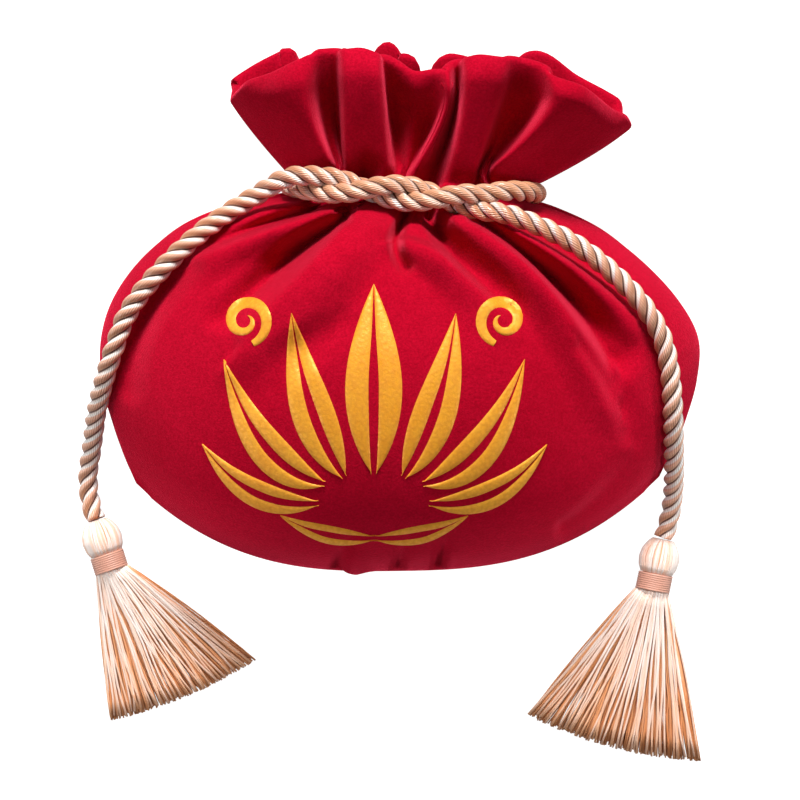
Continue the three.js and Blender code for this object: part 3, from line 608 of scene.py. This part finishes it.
def make_thread(name, thread_lines, colours):
    material, nodes, shader = new_material(
        name, Roughness=0.42, Sheen_Weight=0.1, Sheen_Roughness=0.35, Coat_Weight=0.1, Coat_Roughness=0.3)
    coords = nodes.add("TexCoord")
    lines = use_group(nodes, thread_lines, UV=coords.outputs["UV"], Threads=FIBRES, Slant=FIBRE_SLANT)
    strand = nodes.add("Attribute", attribute_name="strand_tone")
    tone = nodes.math("ADD", nodes.math("MULTIPLY", strand.outputs["Fac"], 0.85),
                      nodes.math("MULTIPLY", lines["Tone"], 0.15))
    thread = nodes.mix(nodes.spread(tone, 0.0, 0.5), colours["dark"], colours["light"])
    thread = nodes.mix(nodes.spread(tone, 0.5, 0.95), thread, colours["pale"])
    nodes.finish(shader, thread, lines["Ridge"], distance=0.00012, strength=0.4)
    return material


# Meshes
def add_grid(bm, places):
    """A grid of faces through places, an array of rows of points, with its UV map across and along it."""
    rows, columns = places.shape[0] - 1, places.shape[1] - 1
    grid = bmesh.ops.create_grid(bm, x_segments=columns, y_segments=rows, size=0.5, calc_uvs=True)
    for vert in grid["verts"]:
        row = round((vert.co.y + 0.5) * rows)
        column = round((vert.co.x + 0.5) * columns)
        vert.co = places[row, column]
    return grid["verts"]


def new_bmesh():
    bm = bmesh.new()
    bm.loops.layers.uv.new("UVMap")
    return bm


def finish_piece(bm, name, material):
    """Closes a bmesh into a smooth piece of the object."""
    bmesh.ops.remove_doubles(bm, verts=bm.verts, dist=WELD)
    mesh = bpy.data.meshes.new(name)
    bm.to_mesh(mesh)
    bm.free()
    mesh.polygons.foreach_set("use_smooth", [True] * len(mesh.polygons))
    mesh.materials.append(material)
    piece = bpy.data.objects.new(name, mesh)
    bpy.context.collection.objects.link(piece)
    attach(piece, "root")
    return piece


def rings_along(points, radii, sides, turns):
    """Rings of points round a line, without a twist from one to the next but for their turns."""
    points = np.asarray(points, float)
    along = unit(np.gradient(points, axis=0))
    side = np.cross(along[0], (0.0, 0.0, 1.0))
    sideways = []
    for direction in along:
        side = unit(side - direction * np.dot(side, direction))
        sideways.append(side)
    sideways = np.array(sideways)
    up = np.cross(along, sideways)
    angles = np.linspace(0, math.tau, sides + 1)[None, :] + np.reshape(turns, (-1, 1))
    ring = np.cos(angles)[..., None] * sideways[:, None] + np.sin(angles)[..., None] * up[:, None]
    return points[:, None] + ring * np.reshape(radii, (len(points), -1, 1))


def add_tube(bm, points, radii, sides, turns=0.0):
    """A closed tube along a line, with a radius, or a row of radii round it, for each point."""
    made = add_grid(bm, rings_along(points, radii, sides, turns))
    bmesh.ops.remove_doubles(bm, verts=made, dist=TUBE_WELD)
    made = [vert for vert in made if vert.is_valid]
    ends = [edge for edge in {edge for vert in made for edge in vert.link_edges} if edge.is_boundary]
    bmesh.ops.holes_fill(bm, edges=ends, sides=sides)
    return made


# The pouch
def smooth_cloth(across, along, side):
    """Points of the unfolded cloth, across from -1 at the left seam to 1 at the right seam."""
    section = table_curve(SECTION_TABLE, np.clip(along, 0, LAST_SECTION))
    left, right, y_left, y_middle, y_right, seam, rise, drop, _ = np.moveaxis(section, -1, 0)
    reach, shape = (rise, FRONT_SHAPE) if side > 0 else (drop, BACK_SHAPE)
    s = np.sin(across * math.pi / 2)
    share = (s + 1) / 2
    height = reach * np.maximum(1 - np.abs(s) ** shape["flatness"], 0) ** shape["edge"]
    bend = (y_middle - (y_left + y_right) / 2) * (1 - np.abs(s) ** SEAM_CURVE)
    x, y = part_way((left, right), share), part_way((y_left, y_right), share) + bend
    return np.stack(np.broadcast_arrays(x, y, seam + side * height), axis=-1)


def cloth_outward(across, along, side):
    """The direction square to the unfolded cloth."""
    step = PROBE["step"]
    across = np.clip(across, -PROBE["across"], PROBE["across"])[None, :]
    along = np.clip(along, PROBE["along"], LAST_SECTION - step)[:, None]
    step_along = smooth_cloth(across, along + step, side) - smooth_cloth(across, along - step, side)
    step_across = smooth_cloth(across + step, along, side) - smooth_cloth(across - step, along, side)
    return unit(np.cross(step_across, step_along) * side)


def fold_lift(fold, x, y):
    """How far one fold moves the cloth at places in the plan."""
    path, left_widths, right_widths, out, sharp = fold
    line = bow(path, FOLD_SAMPLES)
    nearest = np.full(x.shape, np.inf)
    share = np.zeros(x.shape)
    turn = np.zeros(x.shape)
    for i in range(FOLD_SAMPLES):
        step_x, step_y = line[i + 1] - line[i]
        off_x, off_y = x - line[i, 0], y - line[i, 1]
        along = np.clip((off_x * step_x + off_y * step_y) / (step_x ** 2 + step_y ** 2), 0, 1)
        distance = np.hypot(off_x - along * step_x, off_y - along * step_y)
        closer = distance < nearest
        nearest = np.where(closer, distance, nearest)
        share = np.where(closer, (i + along) / FOLD_SAMPLES, share)
        turn = np.where(closer, step_x * off_y - step_y * off_x, turn)
    width = np.where(turn > 0, part_way(right_widths, share), part_way(left_widths, share))
    q = np.clip(nearest / width, 0, 1)
    return np.interp(share, (0, 0.5, 1), out) * (1 - q ** sharp) ** 2


def pleat_points(pleats, across, share):
    """Points of the ruffle, on smooth curves through a table of its ridges and hollows."""
    column = table_curve(np.array(list(pleats.values()), float), (across + 1) / 2 * (len(pleats) - 1))
    u = share[:, None, None]
    base, middle, rim = (column[None, :, i] for i in range(3))
    return base * (1 - u) * (1 - 2 * u) + middle * 4 * u * (1 - u) + rim * u * (2 * u - 1)


def row_places():
    """The place along the section table of each row of mesh."""
    places = []
    for index, (*_, rows) in enumerate(SECTIONS.values()):
        places += [index + step / rows for step in range(rows)]
    return np.array(places + [LAST_SECTION], float)


def ruffle_share():
    """How far up the ruffle each row of mesh is, below 0 under it."""
    return (row_places() - RUFFLE_SECTION) / (LAST_SECTION - RUFFLE_SECTION)


def front_points(across, along, inside):
    """The folded front, and its ruffle. inside is 0 at the side seams and 1 away from them."""
    points = smooth_cloth(across[None, :], along[:, None], 1)
    y = points[..., 1]
    lift = sum(fold_lift(fold, points[..., 0], y) for fold in FOLDS.values())
    lift = lift * (1 - PRESSED["share"] * np.exp(-((y - PRESSED["y"]) / PRESSED["reach"]) ** 2))
    lift = lift * inside * smooth_step(along, 0, BOTTOM_FADE)[:, None]
    upright = smooth_step(y, *UPRIGHT_FOLDS)[..., None]
    outward = cloth_outward(across, along, 1) * (1 - upright) + np.array((0.0, 0.0, 1.0)) * upright
    points = points + outward * lift[..., None]
    base = pleat_points(FRONT_PLEATS, across, np.zeros(1))[0, :, 2]
    unfolded = smooth_cloth(across, np.array([RUFFLE_SECTION], float), 1)[:, 2]
    hollow = np.minimum(base - unfolded, 0)[None, :] * smooth_step(along, *HOLLOWS_END)[:, None]
    points[..., 2] += hollow * inside
    share = ruffle_share()
    ruffle = pleat_points(FRONT_PLEATS, across, share)
    curl = np.clip((share - RIM_CURL["start"]) / (1 - RIM_CURL["start"]), 0, 1)[:, None] ** 2 * inside
    ruffle[..., 1] += RIM_CURL["back"] * curl
    ruffle[..., 2] -= RIM_CURL["down"] * curl
    return points, ruffle


def back_points(across, along, inside):
    """The gathered back, and its ruffle."""
    points = smooth_cloth(across[None, :], along[:, None], -1)
    wave = np.cos(across * math.pi * BACK_GATHERS["count"])[None, :]
    lift = BACK_GATHERS["depth"] * wave * smooth_step(points[..., 1], *BACK_GATHERS["grow"])
    lift = lift * inside * smooth_step(along, 0, BOTTOM_FADE)[:, None]
    points = points + cloth_outward(across, along, -1) * lift[..., None]
    return points, pleat_points(BACK_PLEATS, across, ruffle_share())


def panel_points(make_points, columns):
    """The outer face of one panel, a row of points for each row of the mesh."""
    across = np.linspace(-1, 1, columns + 1)
    along = row_places()
    points, ruffle = make_points(across, along, smooth_step(1 - np.abs(across), 0, SEAM_FADE)[None, :])
    weight = smooth_step(along, NECK_SECTION, RUFFLE_SECTION)[:, None, None]
    return points * (1 - weight) + ruffle * weight


def make_pouch(velvet):
    """Front and back in one shell, round a hem at the rim and down inside to the bottom seam."""
    front = panel_points(front_points, FRONT_COLUMNS)
    back = panel_points(back_points, BACK_COLUMNS)
    back[..., 2] = np.maximum(back[..., 2], 0.0)
    front[:, [0, -1]] = (front[:, [0, -1]] + back[:, [0, -1]]) / 2
    outer = np.concatenate([front, back[:, -2::-1]], axis=1)
    around = np.concatenate([outer[:, -2:-1], outer, outer[:, 1:2]], axis=1)
    step_along = np.gradient(outer, axis=0)
    inward = unit(np.cross(step_along, around[:, 2:] - around[:, :-2]))
    thickness = part_way((CLOTH_THICKNESS, HEM_THICKNESS), smooth_step(ruffle_share(), HEM_FROM, 1))
    inner = outer + inward * thickness[:, None, None]
    upward = unit(step_along[-1])
    rim = (outer[-1] + inner[-1]) / 2
    hem = []
    for step in range(1, HEM_STEPS):
        turn = math.pi * step / HEM_STEPS
        hem.append(rim + (upward * math.sin(turn) - inward[-1] * math.cos(turn)) * HEM_THICKNESS / 2)
    places = np.concatenate([outer, np.array(hem), inner[::-LINING_STEP]], axis=0) * MM
    places[..., 2] = np.maximum(places[..., 2], 0.0)
    bm = new_bmesh()
    add_grid(bm, places)
    bmesh.ops.remove_doubles(bm, verts=bm.verts, dist=WELD)
    corners = [Vector(outer[0, column] * MM) for column in (0, FRONT_COLUMNS)]
    near = [vert for vert in bm.verts
            if min((vert.co - corner).length for corner in corners) < CORNER["reach"] * MM]
    for _ in range(CORNER["rounds"]):
        bmesh.ops.smooth_vert(bm, verts=near, factor=CORNER["factor"],
                              use_axis_x=True, use_axis_y=True, use_axis_z=True)
    bmesh.ops.recalc_face_normals(bm, faces=bm.faces)
    return finish_piece(bm, "velvet_pouch", velvet)


# The gold ornament
def curl_line(t):
    """The middle line of the right curl in the plan, sideways from the ornament's middle and along Y."""
    angle = np.radians(CURL["start"]) - t * CURL["turns"] * math.tau
    radius = part_way(CURL["radius"], t)
    off = np.stack([radius * np.cos(angle), radius * np.sin(angle)], axis=1)
    return np.array(CURL["middle"], float) + off


def half_width(form, widest, t):
    return widest * np.sin(math.pi * t ** form["skew"]) ** form["taper"]


def add_leaf(bm, cloth, line, low, high):
    """Gold leaf on the cloth, between two distances to the left of a line, and its mirror image."""
    along = unit(np.gradient(line, axis=0))
    leftward = np.stack([-along[:, 1], along[:, 0]], axis=1)
    for mirror in (1, -1):
        places = np.zeros((len(line), LEAF["columns"] + 1, 3))
        for column in range(LEAF["columns"] + 1):
            share = column / LEAF["columns"]
            edge = abs(2 * share - 1) ** LEAF["square"]
            lift = (LEAF["proud"] * (1 - edge) - LEAF["pressed"] * edge) * MM
            for row, (sideways, y) in enumerate(line + leftward * (low + (high - low) * share)[:, None]):
                above = Vector(((ORNAMENT_MIDDLE + sideways * mirror) * MM, y * MM, RAY_HEIGHT))
                place, normal, _, _ = cloth.ray_cast(above, Vector((0, 0, -1)))
                places[row, column] = place + normal * lift
        add_grid(bm, places[:, ::mirror])


def make_ornament(pouch, gold):
    cloth = BVHTree.FromObject(pouch, bpy.context.evaluated_depsgraph_get())
    bm = new_bmesh()
    t = np.linspace(0, 1, PETAL_STEPS + 1)
    vein = VEIN["half_width"] * (1 - smooth_step(t, VEIN["narrows"], VEIN["ends"]))
    for petal in PETALS.values():
        line = bow(petal["path"], PETAL_STEPS)
        half = np.maximum(half_width(PETAL_FORM, petal["half_width"], t), vein + LEAF["least"])
        add_leaf(bm, cloth, line, vein, half)
        add_leaf(bm, cloth, line, -half, -vein)
    t = np.linspace(0, 1, CURL["steps"] + 1)
    half = half_width(CURL, CURL["half_width"], CURL["cut"] + (1 - CURL["cut"]) * t) + LEAF["least"]
    add_leaf(bm, cloth, curl_line(t), -half, half)
    finish_piece(bm, "gold_ornament", gold)


# The cord
def twisted_strand(start_turn):
    """One of the two strands that wind round each other in front of the neck."""
    points = []
    for i in range(TWIST["points"]):
        share = i / (TWIST["points"] - 1)
        x, y = part_way(TWIST["x"], share), part_way(TWIST["y"], share)
        z = TWIST["crown"][1] - TWIST["sag"] * (x - TWIST["crown"][0]) ** 2
        turn = start_turn - share * math.tau
        points.append((x, y + TWIST["radius"] * math.cos(turn), z + TWIST["radius"] * math.sin(turn)))
    return points


def even_curve(points, step):
    """A smooth curve through points, with knots spaced by the root of their distance, in even steps."""
    points = np.array(points, float)
    whole = np.concatenate([[2 * points[0] - points[1]], points, [2 * points[-1] - points[-2]]])
    t = np.linspace(0, 1, CURVE_STEPS, endpoint=False)[:, None]
    fine = []
    for i in range(len(points) - 1):
        p0, p1, p2, p3 = whole[i:i + 4]
        d0, d1, d2 = (math.sqrt(np.linalg.norm(b - a)) for a, b in ((p0, p1), (p1, p2), (p2, p3)))
        slope_1 = ((p1 - p0) / d0 - (p2 - p0) / (d0 + d1) + (p2 - p1) / d1) * d1
        slope_2 = ((p2 - p1) / d1 - (p3 - p1) / (d1 + d2) + (p3 - p2) / d2) * d1
        fine.append(smooth_curve(p1, p2, slope_1, slope_2, t))
    fine = np.concatenate(fine + [points[-1:]])
    length = np.concatenate([[0], np.cumsum(np.linalg.norm(np.diff(fine, axis=0), axis=1))])
    even = np.linspace(0, length[-1], int(round(length[-1] / step)) + 1)
    return np.stack([np.interp(even, length, fine[:, i]) for i in range(3)], axis=1)


def make_cord(satin):
    """The cord's piece and its middle line, in metres."""
    route = LEFT_TAIL + twisted_strand(0) + NECK_LOOP + twisted_strand(math.pi) + RIGHT_TAIL
    line = even_curve(route, CORD_STEP)
    angle = np.linspace(0, math.tau, CORD_SIDES + 1)
    from_ply = (angle + math.pi / PLIES) % (math.tau / PLIES) - math.pi / PLIES
    outline = (PLY_OFFSET * np.cos(from_ply)
               + np.sqrt(PLY_RADIUS ** 2 - (PLY_OFFSET * np.sin(from_ply)) ** 2))
    outline *= CORD_DIAMETER / 2 / outline.max()
    turns = np.arange(len(line)) * CORD_STEP / LAY * math.tau
    bm = new_bmesh()
    add_tube(bm, line * MM, np.tile(outline, (len(line), 1)) * MM, CORD_SIDES, turns)
    return finish_piece(bm, "drawstring", satin), line * MM


# Tassels
def tassel_place(tassel, across, down, up):
    """A point across a tassel, down its axis from the wrap's middle, and up from its axis."""
    turn = math.radians(tassel["turn"])
    x = tassel["x"] + math.cos(turn) * across + math.sin(turn) * down
    y = tassel["y"] + math.sin(turn) * across - math.cos(turn) * down
    return (x * MM, y * MM, (TASSEL_LIFT + up) * MM)


def new_strands():
    """A bmesh whose points have a tone, and the layer that holds it."""
    bm = new_bmesh()
    return bm, bm.verts.layers.float.new("strand_tone")


def add_strand(bm, tones, points, radii, sides, tone):
    """A tube of one tone along points of a tassel, with one radius or one for each point."""
    made = add_tube(bm, points, np.broadcast_to(radii, len(points)) * MM, sides)
    for vert in made:
        vert[tones] = tone
    return made


def add_head(bm, tones, tassel, draw):
    """The knob at the cord's end: a body with threads over it, and a core down through the wrap."""
    thread = HEAD_THREADS["radius"]
    body = [tassel_place(tassel, 0, -row["along"], 0) for row in HEAD_PROFILE]
    radii = [row["radius"] - thread for row in HEAD_PROFILE]
    add_strand(bm, tones, body, radii, HEAD["sides"], HEAD["tone"])
    core = [tassel_place(tassel, 0, down, 0) for down in CORE["down"]]
    add_strand(bm, tones, core, CORE["radius"], CORE["sides"], CORE["tone"])
    for i in range(HEAD_THREADS["count"]):
        stray = draw.uniform(-HEAD_THREADS["stray"], HEAD_THREADS["stray"])
        angle = (i + stray) / HEAD_THREADS["count"] * math.tau
        lean = draw.uniform(-HEAD_THREADS["lean"], HEAD_THREADS["lean"])
        points = []
        for step, row in enumerate(HEAD_PROFILE):
            turn = angle + lean * step / len(HEAD_PROFILE)
            reach = row["radius"] - thread * HEAD_THREADS["sunk"]
            across, up = reach * math.cos(turn), reach * math.sin(turn)
            points.append(tassel_place(tassel, across, -row["along"], up))
        add_strand(bm, tones, points, thread, HEAD_THREADS["sides"], draw.uniform(*HEAD_THREADS["tone"]))


def add_skirt_thread(bm, tones, tassel, draw, kind, place):
    """One thread of a tassel's skirt, from under the wrap to the floor. place is 0 to 1 across the skirt."""
    share = min(max(place + draw.uniform(-SKIRT["stray"], SKIRT["stray"]), 0), 1)
    from_middle = abs(2 * share - 1)
    turn = math.radians(part_way(tassel["fan"], share) - tassel["turn"])
    length = part_way(tassel["length"], share) * (1 - SKIRT["cut"] * (1 - from_middle ** 2))
    length += draw.uniform(*SKIRT["ragged"])
    layer = draw.uniform(*kind["layer"])
    width = SKIRT["start_radius"] * (2 * place - 1)
    room = math.sqrt(max(SKIRT["start_radius"] ** 2 - width ** 2, SKIRT["least_room"]))
    start_up = room * (2 * layer - 1)
    heap = SKIRT["heap"] * layer * (1 - SKIRT["flat"] * from_middle)
    end_up = kind["radius"] + SKIRT["clear"] - TASSEL_LIFT + heap
    bend = draw.uniform(-kind["bend"], kind["bend"])
    ripple = draw.uniform(-kind["bend"], kind["bend"]) / SKIRT["ripples"]
    points = []
    for step in range(SKIRT["steps"] + 1):
        t = step / SKIRT["steps"]
        sway = bend * math.sin(math.pi * t) + ripple * math.sin(SKIRT["ripples"] * math.pi * t)
        sideways = width + math.sin(turn) * length * t + sway
        down = SKIRT["start"] + math.cos(turn) * length * t
        up = start_up + (end_up - start_up) * t ** SKIRT["fall"]
        points.append(tassel_place(tassel, sideways, down, up))
    radius = kind["radius"] * draw.uniform(*SKIRT["thick"])
    tone = draw.uniform(*kind["tone"])
    start = Vector(points[0])
    for vert in add_strand(bm, tones, points, radius, SKIRT["sides"], tone):
        along = (vert.co - start).length / (length * MM)
        vert[tones] = tone * (1 - SKIRT["fade"] * along ** 2)


def make_tassel(tassel, thread):
    draw = random.Random(tassel["seed"])
    bm, tones = new_strands()
    add_head(bm, tones, tassel, draw)
    for kind in (THREADS, YARNS):
        for i in range(kind["count"]):
            add_skirt_thread(bm, tones, tassel, draw, kind, (i + draw.random()) / kind["count"])
    return finish_piece(bm, f"{tassel['side']}_tassel_threads", thread)


def make_wrap(tassel, thread):
    """The thread wound round the tassel under its head."""
    steps = WRAP["turns"] * WRAP["turn_steps"]
    coil = []
    for step in range(steps + 1):
        angle = step / WRAP["turn_steps"] * math.tau
        across, up = WRAP["radius"] * math.cos(angle), WRAP["radius"] * math.sin(angle)
        coil.append(tassel_place(tassel, across, WRAP["length"] * (step / steps - 0.5), up))
    bm, tones = new_strands()
    add_strand(bm, tones, coil, WRAP["thread"], WRAP["sides"], WRAP["tone"])
    return finish_piece(bm, f"{tassel['side']}_wrap_winding", thread)


make_camera()
make_studio()
soft_patches = soft_patches_group()
thread_lines = thread_lines_group()
pouch = make_pouch(make_velvet(soft_patches))
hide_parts("front_panel", "back_panel")
make_ornament(pouch, make_gold(soft_patches))
cord, cord_line = make_cord(make_satin(thread_lines, soft_patches))
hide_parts("drawstring_cord")
tassel_thread = make_thread("tassel_thread", thread_lines, TASSEL_THREAD)
wrap_thread = make_thread("wrap_thread", thread_lines, WRAP_THREAD)
on_cord = []
for tassel in TASSELS:
    skirt = make_tassel(tassel, tassel_thread)
    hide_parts(f"{tassel['side']}_tassel")
    wrap = make_wrap(tassel, wrap_thread)
    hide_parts(f"{tassel['side']}_tassel_wrap")
    on_cord += [skirt, wrap]
